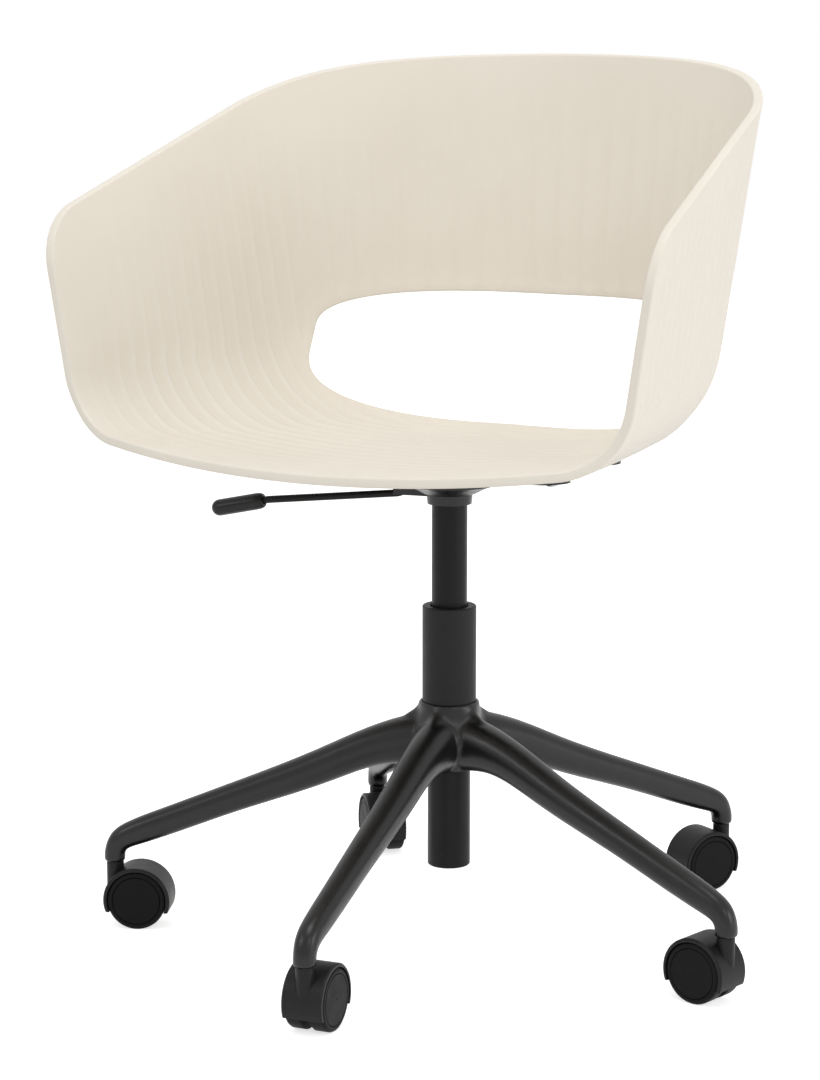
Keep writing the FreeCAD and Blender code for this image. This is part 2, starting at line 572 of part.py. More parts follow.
def standpipe():
    """Outer tube of the lift: foot rolled in, straight but for a slow taper through the hub."""
    bore, low, bevel = STANDPIPE_BORE_RADIUS, STANDPIPE_BOTTOM_Z, STANDPIPE_CHAMFER
    return revolve_profile([(FOOT_LIP_RADIUS, low), (STANDPIPE_RADIUS - bevel, low),
                            (STANDPIPE_RADIUS, low + bevel), (STANDPIPE_RADIUS, HUB_BOTTOM_Z),
                            (STANDPIPE_TOP_RADIUS, HUB_SEAT_Z), (STANDPIPE_TOP_RADIUS, STANDPIPE_TOP_Z),
                            (bore, STANDPIPE_TOP_Z), (bore, FOOT_Z), (FOOT_LIP_RADIUS, FOOT_Z)])


def standpipe_foot():
    """Steel disc that rests on the rolled lip and carries the thrust bearing."""
    disc = cylinder(STANDPIPE_BORE_RADIUS - SEATING_GAP, FOOT_Z, BEARING_Z)
    return disc.cut(cylinder(ROD_RADIUS + RUNNING_GAP, FOOT_Z, BEARING_Z))


def guide_bush():
    """Plastic bush that guides the cylinder, hung by its flange on the standpipe's rim."""
    eye = CYLINDER_RADIUS + RUNNING_GAP
    barrel = STANDPIPE_BORE_RADIUS - SEATING_GAP
    flange_top = STANDPIPE_TOP_Z + BUSH_FLANGE_HEIGHT
    return revolve_profile([(eye, BUSH_BOTTOM_Z), (barrel, BUSH_BOTTOM_Z), (barrel, STANDPIPE_TOP_Z),
                            (STANDPIPE_TOP_RADIUS, STANDPIPE_TOP_Z), (STANDPIPE_TOP_RADIUS, flange_top),
                            (eye, flange_top)])


def cover_sleeve():
    """Cover over the standpipe, stood in the hub's recess, with its top turned in over the bush."""
    bore = STANDPIPE_TOP_RADIUS + CLEARANCE
    roof = STANDPIPE_TOP_Z + BUSH_FLANGE_HEIGHT + CLEARANCE
    mouth, bevel = SLEEVE_MOUTH_RADIUS, SLEEVE_CHAMFER
    return revolve_profile([(bore, HUB_SEAT_Z), (SLEEVE_RADIUS, HUB_SEAT_Z),
                            (SLEEVE_RADIUS, SLEEVE_TOP_Z - bevel), (SLEEVE_RADIUS - bevel, SLEEVE_TOP_Z),
                            (mouth + bevel, SLEEVE_TOP_Z), (mouth, SLEEVE_TOP_Z - bevel),
                            (mouth, roof), (bore, roof)])


def round_section(r, z, fall, half_width, half_height):
    """Closed arm section, square to a path that falls by an angle, in the arm's own upright plane."""
    fall = math.radians(fall)
    up = Vector(math.sin(fall), 0, math.cos(fall))
    power = 2 / ARM_SECTION_POWER
    points = []
    for i in range(16):
        angle = math.radians(22.5 * i)
        across = math.copysign(abs(math.cos(angle)) ** power, math.cos(angle))
        rise = math.copysign(abs(math.sin(angle)) ** power, math.sin(angle))
        points.append(Vector(r, half_width * across, z) + up * (half_height * rise))
    curve = Part.BSplineCurve()
    curve.interpolate(Points=points, PeriodicFlag=True)
    return Part.Wire([curve.toShape()])


def base_arm():
    """One arm along +X: flared out of the hub, tapering down its slope, turned down into the socket."""
    end = STEM_CIRCLE_RADIUS
    middle = (HUB_BOTTOM_Z + HUB_TOP_Z) / 2
    elbow, elbow_z = end - ARM_ELBOW_BACK, SOCKET_Z + ARM_ELBOW_RISE
    run = elbow - ARM_SHOULDER_RADIUS
    slope = (ARM_SHOULDER_Z - elbow_z) / run
    fall_angle = math.degrees(math.atan(slope))
    sections = []
    for r, drop, fall, half_width, half_height in ARM_ROOT_SECTIONS:
        sections.append(round_section(r, middle - drop, fall, half_width, half_height))
    for share, extra, half_width, half_height in ARM_SLOPE_SECTIONS:
        r, z = ARM_SHOULDER_RADIUS + run * share, ARM_SHOULDER_Z - slope * run * share
        sections.append(round_section(r, z, fall_angle + extra, half_width, half_height))
    back, extra, half_width, half_height = ARM_ELBOW_SECTION
    z = elbow_z + slope * (back - ARM_ELBOW_BACK)
    sections.append(round_section(end - back, z, fall_angle + extra, half_width, half_height))
    back, rise, fall, half_width, half_height = ARM_TURN_SECTION
    sections.append(round_section(end - back, SOCKET_Z + rise, fall, half_width, half_height))
    for z in (SOCKET_Z + SOCKET_STRAIGHT, SOCKET_Z):
        sections.append(round_section(end, z, 90, SOCKET_RADIUS, SOCKET_RADIUS))
    return Part.makeLoft(sections, True, False)


def base_star():
    """Five-arm base with a ringed hub, a tapered bore for the standpipe and blind bores for the castors."""
    ring_z, bevel = HUB_TOP_Z - HUB_RING_HEIGHT, HUB_RING_CHAMFER
    hub = revolve_profile([(0, HUB_BOTTOM_Z), (HUB_RADIUS - HUB_CHAMFER, HUB_BOTTOM_Z),
                           (HUB_RADIUS, HUB_BOTTOM_Z + HUB_CHAMFER), (HUB_RADIUS, ring_z - HUB_RING_STEP),
                           (HUB_RING_RADIUS, ring_z), (HUB_RING_RADIUS, HUB_TOP_Z - bevel),
                           (HUB_RING_RADIUS - bevel, HUB_TOP_Z), (0, HUB_TOP_Z)])
    arm = base_arm()
    arms = []
    for k in range(ARM_COUNT):
        turned = arm.copy()
        turned.rotate(CENTRE, Z_AXIS, BASE_FIRST_ANGLE + 360 / ARM_COUNT * k)
        arms.append(turned)
    star = hub.multiFuse(arms)
    low, high = HUB_BOTTOM_Z - CUT_OVERRUN, HUB_TOP_Z + CUT_OVERRUN
    pipe, pipe_top = STANDPIPE_RADIUS + SEATING_GAP, STANDPIPE_TOP_RADIUS + SEATING_GAP
    recess = SLEEVE_RADIUS + CLEARANCE
    star = star.cut(revolve_profile([(0, low), (pipe, low), (pipe, HUB_BOTTOM_Z), (pipe_top, HUB_SEAT_Z),
                                     (recess, HUB_SEAT_Z), (recess, high), (0, high)]))
    for x, y, _ in castor_places():
        bottom, roof = SOCKET_Z - STEM_FLANGE, SOCKET_Z + SOCKET_BORE_DEPTH
        star = star.cut(cylinder(STEM_RADIUS + RUNNING_GAP, bottom, roof, (x, y)))
    return star.Solids[0]


def castor_places():
    """Plan position of each castor stem and the angle of its arm."""
    places = []
    for k in range(ARM_COUNT):
        angle = BASE_FIRST_ANGLE + 360 / ARM_COUNT * k
        x = STEM_CIRCLE_RADIUS * math.cos(math.radians(angle))
        y = STEM_CIRCLE_RADIUS * math.sin(math.radians(angle))
        places.append((x, y, angle))
    return places


def axle_cylinder(radius, start, end):
    """Cylinder on the castor's axle line between two sideways positions."""
    return Part.makeCylinder(radius, end - start, Vector(-CASTOR_TRAIL, start, AXLE_Z), Vector(0, 1, 0))


def castor_hood():
    """Hood over both wheels with a web between them, and the neck that takes the stem."""
    half = HOOD_HALF_WIDTH
    drum = axle_cylinder(HOOD_RADIUS, -half, half)
    drum = drum.makeChamfer(HOOD_SIDE_CHAMFER, [e for e in drum.Edges if e.BoundBox.YLength < SEATING_GAP])
    body = drum.fuse(cylinder(NECK_OUTER_RADIUS, AXLE_Z, NECK_TOP_Z))
    web = HOOD_WEB / 2
    for low, high in ((-2 * half, -web), (web, 2 * half)):
        body = body.cut(axle_cylinder(HOOD_BORE_RADIUS, low, high))
    corner = Vector(-CASTOR_TRAIL - 2 * HOOD_RADIUS, -2 * half, AXLE_Z - HOOD_DROP - 2 * HOOD_RADIUS)
    body = body.cut(Part.makeBox(4 * HOOD_RADIUS, 4 * half, 2 * HOOD_RADIUS, corner))
    body = body.cut(axle_cylinder(AXLE_RADIUS + SEATING_GAP, -half, half))
    return body.cut(cylinder(STEM_RADIUS + SEATING_GAP, STEM_ROOT_Z, SOCKET_Z)).Solids[0]


def castor_stem():
    """Steel stem with a flange on the neck, turning in the arm's socket."""
    top = SOCKET_Z + SOCKET_BORE_DEPTH - SOCKET_HEADROOM
    return revolve_profile([(0, STEM_ROOT_Z), (STEM_RADIUS, STEM_ROOT_Z), (STEM_RADIUS, NECK_TOP_Z),
                            (STEM_FLANGE_RADIUS, NECK_TOP_Z), (STEM_FLANGE_RADIUS, SOCKET_Z),
                            (STEM_RADIUS, SOCKET_Z), (STEM_RADIUS, top - STEM_CHAMFER),
                            (STEM_RADIUS - STEM_CHAMFER, top), (0, top)])


def castor_axle():
    """Plain pin through the hood's web."""
    half = HOOD_WEB / 2 + CLEARANCE + AXLE_BITE
    return axle_cylinder(AXLE_RADIUS, -half, half)


def castor_wheel(side):
    """One wheel: rounded tread, a ring step on the outer face and a blind bore for the axle."""
    r, w, c = WHEEL_RADIUS, WHEEL_WIDTH, WHEEL_CHAMFER
    ring, depth = WHEEL_RING_RADIUS, WHEEL_RING_DEPTH
    bore = AXLE_RADIUS + RUNNING_GAP
    profile = [(bore, 0), (r - c / 2, 0), (r, c / 2), (r, w - c), (r - c / 3, w - c / 3), (r - c, w),
               (ring + depth, w), (ring, w - depth), (ring - depth, w), (0, w + CLEARANCE / 2),
               (0, AXLE_BITE + 2 * CLEARANCE), (bore, AXLE_BITE + 2 * CLEARANCE)]
    wheel = revolve_profile(profile)
    wheel.rotate(CENTRE, Vector(1, 0, 0), -90 * side)
    wheel.translate(Vector(-CASTOR_TRAIL, side * (HOOD_WEB / 2 + CLEARANCE), AXLE_Z))
    return wheel


def lever_rod():
    """Bent rod with rounded bends and a cross hole for its pin."""
    corners = [LEVER_TIP, LEVER_BEND_IN, LEVER_BEND_OUT, LEVER_GRIP_START, LEVER_GRIP_END]
    corners[-1] = (LEVER_GRIP_END[0] - 2 * GRIP_LEAD, lever_grip_line(LEVER_GRIP_END[0] - 2 * GRIP_LEAD))
    points = [lever_frame(r, z) for r, z in corners]
    edges = []
    start = points[0]
    for before, at, after in zip(points, points[1:], points[2:]):
        back = (before - at).normalize()
        on = (after - at).normalize()
        turn = math.pi - back.getAngle(on)
        setback = LEVER_BEND_RADIUS * math.tan(turn / 2)
        middle = (back + on).normalize() * (LEVER_BEND_RADIUS / math.cos(turn / 2) - LEVER_BEND_RADIUS)
        edges.append(Part.LineSegment(start, at + back * setback).toShape())
        edges.append(Part.Arc(at + back * setback, at + middle, at + on * setback).toShape())
        start = at + on * setback
    edges.append(Part.LineSegment(start, points[-1]).toShape())
    path = Part.Wire(edges)
    circle = Part.Circle(points[0], (points[1] - points[0]).normalize(), LEVER_ROD_RADIUS).toShape()
    rod = path.makePipeShell([Part.Wire([circle])], True, False)
    return rod.cut(lever_pin_shape(LEVER_PIN_RADIUS + RUNNING_GAP, LEVER_BOSS_WIDTH))


def lever_grip_line(r):
    """Height of the grip's axis at a distance from the column."""
    (r0, z0), (r1, z1) = LEVER_GRIP_START, LEVER_GRIP_END
    return z0 + (z1 - z0) * (r - r0) / (r1 - r0)


def lever_pin_shape(radius, length):
    """Cross pin through the lever rod, centred on it."""
    z = lever_line(LEVER_PIVOT_R)
    start = lever_frame(LEVER_PIVOT_R, z, -length / 2)
    return Part.makeCylinder(radius, length, start, lever_frame(LEVER_PIVOT_R, z, length / 2) - start)


def lever_pivot_pin():
    """Pin in the cheeks of the spider's lever boss."""
    return lever_pin_shape(LEVER_PIN_RADIUS, LEVER_BOSS_WIDTH - 2 * CLEARANCE)


def lever_grip():
    """Moulded grip on the rod's end, round at its tip."""
    start, end = lever_frame(*LEVER_GRIP_START), lever_frame(*LEVER_GRIP_END)
    along = (end - start).normalize()
    root = start + along * GRIP_LEAD
    length = (end - root).Length
    grip = Part.makeCylinder(GRIP_RADIUS, length, root, along)
    circles = [e for e in grip.Edges if e.Closed]
    tip = min(circles, key=lambda edge: edge.CenterOfMass.distanceToPoint(end))
    grip = grip.makeFillet(GRIP_TIP_RADIUS, [tip])
    bite = length - GRIP_LEAD
    return grip.cut(Part.makeCylinder(LEVER_ROD_RADIUS + SEATING_GAP, bite, root, along))


def place_castor(shape, place):
    """Copy of a castor piece, moved from its own frame to one arm's socket."""
    x, y, angle = place
    moved = shape.copy()
    moved.rotate(CENTRE, Z_AXIS, angle)
    moved.translate(Vector(x, y, 0))
    return moved


def build():
    """All nodes by name."""
    nodes = {"seat_shell": seat_shell(), "seat_spider": seat_spider(), "seat_screws": seat_screws(),
             "gas_cylinder": gas_cylinder(), "rod_seal": rod_seal(), "valve_pin": valve_pin(),
             "lever_rod": lever_rod(), "lever_grip": lever_grip(), "lever_pivot_pin": lever_pivot_pin(),
             "piston_rod": piston_rod(), "piston": piston(), "thrust_bearing": thrust_bearing(),
             "rod_clip": rod_clip(), "standpipe": standpipe(), "standpipe_foot": standpipe_foot(),
             "guide_bush": guide_bush(), "cover_sleeve": cover_sleeve(), "base_star": base_star()}
    pieces = {"hood": castor_hood(), "stem": castor_stem(), "axle": castor_axle(),
              "wheel_left": castor_wheel(1), "wheel_right": castor_wheel(-1)}
    for number, place in enumerate(castor_places(), 1):
        for name, shape in pieces.items():
            nodes["castor_%d_%s" % (number, name)] = place_castor(shape, place)
    return nodes


os.makedirs("parts", exist_ok=True)
for node, shape in build().items():
    shape.exportStep("parts/%s.step" % node)
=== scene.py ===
"""Swivel armchair: the looks of its shell, lift, lever, base and castors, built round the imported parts."""
import bmesh
import bpy
import math
import numpy as np
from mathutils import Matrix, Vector


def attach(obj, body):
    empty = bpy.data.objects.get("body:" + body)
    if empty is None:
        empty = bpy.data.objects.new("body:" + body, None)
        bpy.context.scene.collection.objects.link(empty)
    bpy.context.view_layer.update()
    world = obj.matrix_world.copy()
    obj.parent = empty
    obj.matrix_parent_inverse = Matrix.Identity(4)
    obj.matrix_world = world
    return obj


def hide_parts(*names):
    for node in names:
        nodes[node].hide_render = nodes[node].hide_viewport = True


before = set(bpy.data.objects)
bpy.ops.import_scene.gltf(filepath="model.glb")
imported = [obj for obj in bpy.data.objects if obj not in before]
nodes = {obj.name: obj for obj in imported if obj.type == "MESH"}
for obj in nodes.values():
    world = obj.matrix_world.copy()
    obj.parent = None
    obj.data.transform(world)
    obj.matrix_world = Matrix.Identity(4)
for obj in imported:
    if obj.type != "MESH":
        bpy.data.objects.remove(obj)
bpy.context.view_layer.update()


# Studio: a sheet of white paper under the chair, a soft lamp overhead, two in front and one at the side.
# The camera stands where the photograph was taken, a little above the arms and to the sitter's left.
CAMERA_AZIMUTH = math.radians(28.06)
CAMERA_YAW = math.radians(-0.76836)
CAMERA_PITCH = math.radians(10.0168)
CAMERA_DISTANCE = 2.75935
CAMERA_HEIGHT = 0.86922
CAMERA_LENS = 99.75
CAMERA_SENSOR = 36.0
PAPER_SIZE = 14.0
PAPER_WHITE = (0.86, 0.86, 0.86, 1.0)
PAPER_GLOW = 0.66
AIR_TINT = (1.0, 0.995, 0.985, 1.0)
AIR_LIGHT = 0.68

sight_right = Vector((math.cos(CAMERA_AZIMUTH), math.sin(CAMERA_AZIMUTH), 0.0))
sight_ahead = Vector((-math.sin(CAMERA_AZIMUTH), math.cos(CAMERA_AZIMUTH), 0.0))
level_look = sight_right * math.sin(CAMERA_YAW) + sight_ahead * math.cos(CAMERA_YAW)
look = level_look * math.cos(CAMERA_PITCH) - Vector((0.0, 0.0, math.sin(CAMERA_PITCH)))
camera_data = bpy.data.cameras.new("photo_camera")
camera_data.lens = CAMERA_LENS
camera_data.sensor_width = CAMERA_SENSOR
camera = bpy.data.objects.new("photo_camera", camera_data)
camera.location = Vector((0.0, 0.0, CAMERA_HEIGHT)) - sight_ahead * CAMERA_DISTANCE
camera.rotation_euler = look.to_track_quat("-Z", "Y").to_euler()
bpy.context.collection.objects.link(camera)
bpy.context.scene.camera = camera
bpy.context.scene.view_settings.view_transform = "Standard"


def background_ray(tree):
    """Socket that is 1 for rays from the camera, off a gloss or through glass, and 0 for light."""
    path = tree.nodes.new("ShaderNodeLightPath")
    seen = path.outputs["Is Camera Ray"]
    for kind in ("Is Glossy Ray", "Is Transmission Ray"):
        either = tree.nodes.new("ShaderNodeMath")
        either.operation = "MAXIMUM"
        tree.links.new(seen, either.inputs[0])
        tree.links.new(path.outputs[kind], either.inputs[1])
        seen = either.outputs[0]
    return seen


def studio_air():
    """World that lights the chair evenly and shows as white."""
    world = bpy.data.worlds.new("studio_air")
    world.use_nodes = True
    tree = world.node_tree
    tree.nodes.clear()
    seen = tree.nodes.new("ShaderNodeBackground")
    seen.inputs["Strength"].default_value = 1.0
    seen.inputs["Color"].default_value = (1.0, 1.0, 1.0, 1.0)
    light = tree.nodes.new("ShaderNodeBackground")
    light.inputs["Color"].default_value = AIR_TINT
    light.inputs["Strength"].default_value = AIR_LIGHT
    mix = tree.nodes.new("ShaderNodeMixShader")
    out = tree.nodes.new("ShaderNodeOutputWorld")
    tree.links.new(background_ray(tree), mix.inputs[0])
    tree.links.new(light.outputs[0], mix.inputs[1])
    tree.links.new(seen.outputs[0], mix.inputs[2])
    tree.links.new(mix.outputs[0], out.inputs["Surface"])
    bpy.context.scene.world = world


def studio_paper():
    """Floor sheet: matt white with a glow for the camera, so that only contact shadows show on it."""
    half = PAPER_SIZE / 2
    mesh = bpy.data.meshes.new("studio_paper")
    corners = [(-half, -half, 0.0), (half, -half, 0.0), (half, half, 0.0), (-half, half, 0.0)]
    mesh.from_pydata(corners, [], [(0, 1, 2, 3)])
    paper = bpy.data.objects.new("studio_paper", mesh)
    bpy.context.collection.objects.link(paper)
    material = bpy.data.materials.new("studio_paper")
    material.use_nodes = True
    tree = material.node_tree
    tree.nodes.clear()
    matt = tree.nodes.new("ShaderNodeBsdfDiffuse")
    matt.inputs["Color"].default_value = PAPER_WHITE
    glow = tree.nodes.new("ShaderNodeEmission")
    strength = tree.nodes.new("ShaderNodeMath")
    strength.operation = "MULTIPLY"
    strength.inputs[1].default_value = PAPER_GLOW
    tree.links.new(background_ray(tree), strength.inputs[0])
    tree.links.new(strength.outputs[0], glow.inputs["Strength"])
    both = tree.nodes.new("ShaderNodeAddShader")
    out = tree.nodes.new("ShaderNodeOutputMaterial")
    tree.links.new(matt.outputs[0], both.inputs[0])
    tree.links.new(glow.outputs[0], both.inputs[1])
    tree.links.new(both.outputs[0], out.inputs["Surface"])
    mesh.materials.append(material)


def soft_lamp(name, place, target, size, power):
    """Square area lamp aimed at a point."""
    data = bpy.data.lights.new(name, "AREA")
    data.size = size
    data.energy = power
    lamp = bpy.data.objects.new(name, data)
    lamp.location = place
    lamp.rotation_euler = (Vector(target) - Vector(place)).to_track_quat("-Z", "Y").to_euler()
    bpy.context.collection.objects.link(lamp)


studio_air()
studio_paper()
soft_lamp("lamp_overhead", place=(0.2, -0.5, 2.9), target=(0.0, 0.0, 0.4), size=1.3, power=19.0)
soft_lamp("lamp_front_left", place=(-1.5, -2.5, 1.9), target=(0.0, 0.0, 0.5), size=0.8, power=9.0)
soft_lamp("lamp_front_right", place=(2.4, -1.8, 1.9), target=(0.0, 0.0, 0.5), size=0.8, power=8.0)
soft_lamp("lamp_right", place=(3.0, 0.2, 1.0), target=(0.0, 0.0, 0.5), size=1.2, power=18.0)


def surface_noise(tree, scale, detail=3.0, stretch=None):
    """Noise in the piece's own space, as large on every piece; stretch draws it out along an axis."""
    place = tree.nodes.new("ShaderNodeTexCoord")
    noise = tree.nodes.new("ShaderNodeTexNoise")
    noise.inputs["Scale"].default_value = scale
    noise.inputs["Detail"].default_value = detail
    if stretch is None:
        tree.links.new(place.outputs["Object"], noise.inputs["Vector"])
        return noise.outputs["Fac"]
    mapping = tree.nodes.new("ShaderNodeMapping")
    mapping.inputs["Scale"].default_value = stretch
    tree.links.new(place.outputs["Object"], mapping.inputs["Vector"])
    tree.links.new(mapping.outputs["Vector"], noise.inputs["Vector"])
    return noise.outputs["Fac"]


def tint_between(tree, factor, dark, light, low=0.35, high=0.65):
    """Colour that runs from a dark to a light tint as a noise rises."""
    ramp = tree.nodes.new("ShaderNodeValToRGB")
    ramp.color_ramp.elements[0].position = low
    ramp.color_ramp.elements[0].color = (*dark, 1.0)
    ramp.color_ramp.elements[1].position = high
    ramp.color_ramp.elements[1].color = (*light, 1.0)
    tree.links.new(factor, ramp.inputs["Fac"])
    return ramp.outputs["Color"]


def range_between(tree, factor, low, high):
    """Number that runs from low to high as a noise rises."""
    spread = tree.nodes.new("ShaderNodeMapRange")
    spread.inputs["From Min"].default_value = 0.3
    spread.inputs["From Max"].default_value = 0.7
    spread.inputs["To Min"].default_value = low
    spread.inputs["To Max"].default_value = high
    tree.links.new(factor, spread.inputs["Value"])
    return spread.outputs["Result"]


def grained_finish(name, dark, light, roughness, tint_scale, grain_scale, grain_depth,
                   metallic=0.0, specular=0.5):
    """Finish with uneven colour and roughness over a fine grain that stands up from the surface."""
    material = bpy.data.materials.new(name)
    material.use_nodes = True
    tree = material.node_tree
    shader = tree.nodes["Principled BSDF"]
    shader.inputs["Metallic"].default_value = metallic
    shader.inputs["Specular IOR Level"].default_value = specular
    cloud = surface_noise(tree, tint_scale)
    tree.links.new(tint_between(tree, cloud, dark, light), shader.inputs["Base Color"])
    tree.links.new(range_between(tree, cloud, *roughness), shader.inputs["Roughness"])
    bump = tree.nodes.new("ShaderNodeBump")
    bump.inputs["Strength"].default_value = 0.35
    bump.inputs["Distance"].default_value = grain_depth
    tree.links.new(surface_noise(tree, grain_scale, 2.0), bump.inputs["Height"])
    tree.links.new(bump.outputs["Normal"], shader.inputs["Normal"])
    return material


def finish_node(name, material):
    """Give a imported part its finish."""
    slots = nodes[name].material_slots
    slots[0].material = material


powder_coat = grained_finish("black_powder_coat", (0.0030, 0.0030, 0.0031), (0.0046, 0.0046, 0.0047),
                             (0.29, 0.36), 38.0, 900.0, 0.00010, specular=0.38)
STAR_WEB = ((0.0270, 0.2245), (0.0287, 0.2258), (0.0292, 0.2215), (0.0302, 0.2165), (0.0320, 0.2110),
            (0.0345, 0.2055), (0.0375, 0.2000), (0.0390, 0.1930), (0.0360, 0.1820), (0.0270, 0.1780))
STAR_ARM = ((0.0270, 0.2245), (0.0287, 0.2258), (0.0297, 0.2236), (0.0315, 0.2213), (0.0345, 0.2188),
            (0.0390, 0.2158), (0.0450, 0.2115), (0.0520, 0.2050), (0.0480, 0.1950), (0.0270, 0.1850))
STAR_TURNS = 120
STAR_VOXEL = 0.0016
STAR_SETTLE_STEPS = 14


def skin(rows):
    """Points and faces of a skin over closed profiles that stand in a ring."""
    turns, count = len(rows), len(rows[0])
    faces = []
    for step in range(turns):
        here, there = step * count, (step + 1) % turns * count
        for k in range(count):
            m = (k + 1) % count
            faces.append((here + k, there + k, there + m, here + m))
    return [tuple(point) for row in rows for point in row], faces


def hub_flare():
    """Ring of (radius, height) profiles round the hub: steep in the webs, running out along the arms."""
    box = [Vector(corner) for corner in nodes["castor_1_stem"].bound_box]
    first = nodes["castor_1_stem"].matrix_world @ (sum(box, Vector()) / 8)
    rows = []
    for step in range(STAR_TURNS):
        angle = 2 * math.pi * step / STAR_TURNS
        share = ((1 + math.cos(5 * (angle - math.atan2(first.y, first.x)))) / 2) ** 2
        row = []
        for (web_r, web_z), (arm_r, arm_z) in zip(STAR_WEB, STAR_ARM):
            radius = web_r + (arm_r - web_r) * share
            height = web_z + (arm_z - web_z) * share
            row.append((radius * math.cos(angle), radius * math.sin(angle), height))
        rows.append(row)
    return skin(rows)


def join_doubles(mesh):
    """Join doubled points, drop empty faces and turn every face outward."""
    work = bmesh.new()
    work.from_mesh(mesh)
    bmesh.ops.remove_doubles(work, verts=work.verts, dist=1e-6)
    bmesh.ops.dissolve_degenerate(work, edges=work.edges, dist=1e-7)
    bmesh.ops.recalc_face_normals(work, faces=work.faces)
    work.to_mesh(mesh)
    work.free()


def piece_object(name, mesh, material, body, slot, *packed):
    """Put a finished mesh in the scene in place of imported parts, riding on a body."""
    mesh.polygons.foreach_set("use_smooth", [True] * len(mesh.polygons))
    piece = bpy.data.objects.new(name, mesh)
    bpy.context.collection.objects.link(piece)
    mesh.materials.append(material)
    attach(piece, body)
    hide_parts(*packed)
    return piece


def star_casting():
    """Mesh of the casting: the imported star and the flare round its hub, run together as if poured."""
    work = bmesh.new()
    work.from_mesh(nodes["base_star"].data)
    work.transform(nodes["base_star"].matrix_world)
    bmesh.ops.remove_doubles(work, verts=work.verts, dist=1e-6)
    points, faces = hub_flare()
    verts = [work.verts.new(point) for point in points]
    for face in faces:
        work.faces.new([verts[k] for k in face])
    bmesh.ops.recalc_face_normals(work, faces=work.faces)
    rough = bpy.data.meshes.new("star_rough")
    work.to_mesh(rough)
    work.free()
    form = bpy.data.objects.new("star_rough", rough)
    bpy.context.collection.objects.link(form)
    pour = form.modifiers.new("pour", "REMESH")
    pour.mode = "VOXEL"
    pour.voxel_size = STAR_VOXEL
    settle = form.modifiers.new("settle", "SMOOTH")
    settle.factor = 0.5
    settle.iterations = STAR_SETTLE_STEPS
    mesh = bpy.data.meshes.new_from_object(form.evaluated_get(bpy.context.evaluated_depsgraph_get()))
    mesh.name = "base_star_casting"
    mesh.materials.clear()
    bpy.data.objects.remove(form)
    return mesh


piece_object("base_star_casting", star_casting(), powder_coat, "base", "cast_black", "base_star")


# Lift column: a drawn steel standpipe through the hub, a moulded cover sleeve and the slim gas cylinder.
# The tubes are painted satin black; the sleeve is a duller plastic moulding with a flat turned-in top.
tube_paint = grained_finish("black_tube_paint", (0.0052, 0.0052, 0.0054), (0.0070, 0.0070, 0.0072),
                            (0.36, 0.44), 30.0, 1100.0, 0.00005, specular=0.16)
sleeve_plastic = grained_finish("black_sleeve_plastic", (0.0100, 0.0100, 0.0102), (0.0125, 0.0125, 0.0127),
                                (0.46, 0.54), 45.0, 1600.0, 0.00008, specular=0.20)
for name in ("gas_cylinder", "standpipe"):
    finish_node(name, tube_paint)
finish_node("cover_sleeve", sleeve_plastic)


# Works of the lift: rod, piston, bearing, clip and foot disc in bright steel, a rubber seal and a bush.
# They are hidden in the tubes, as the pins and screws are under the seat, and show when the chair is apart.
bright_steel = grained_finish("bright_steel", (0.42, 0.42, 0.43), (0.58, 0.58, 0.59),
                              (0.22, 0.34), 60.0, 1400.0, 0.00003, metallic=1.0)
seal_rubber = grained_finish("seal_rubber", (0.012, 0.012, 0.012), (0.02, 0.02, 0.02),
                             (0.7, 0.8), 80.0, 1500.0, 0.00006)
bush_plastic = grained_finish("bush_plastic", (0.03, 0.03, 0.03), (0.045, 0.045, 0.045),
                              (0.45, 0.55), 60.0, 1500.0, 0.00005)
for name in ("piston_rod", "piston", "thrust_bearing", "rod_clip", "standpipe_foot", "valve_pin",
             "lever_pivot_pin", "seat_screws"):
    finish_node(name, bright_steel)
finish_node("rod_seal", seal_rubber)
finish_node("guide_bush", bush_plastic)


# Spider and lever: a cast, powder coated spider under the seat and a bent rod painted as the tubes are.
# The lever's grip is a black moulding with a domed tip, pushed on the rod's end.
grip_plastic = grained_finish("black_grip_plastic", (0.006, 0.006, 0.0062), (0.008, 0.008, 0.0082),
                              (0.28, 0.36), 60.0, 1500.0, 0.00006, specular=0.25)
finish_node("seat_spider", powder_coat)
finish_node("lever_rod", tube_paint)
GRIP_ANGLE = math.radians(190.0)
GRIP_ROOT = (0.1820, 0.4108)
GRIP_TIP = (0.2395, 0.3988)
GRIP_RADIUS = 0.0080
GRIP_BORE = ((0.0, 0.0476), (0.0037, 0.0476), (0.0037, 0.0046))
GRIP_SHOULDER = ((0.0050, 0.0040), (0.0060, 0.0044), (0.0069, 0.0056), (0.0075, 0.0074), (0.0079, 0.0100),
                 (0.0080, 0.0130))
GRIP_TURNS = 40
GRIP_DOME_STEPS = 10


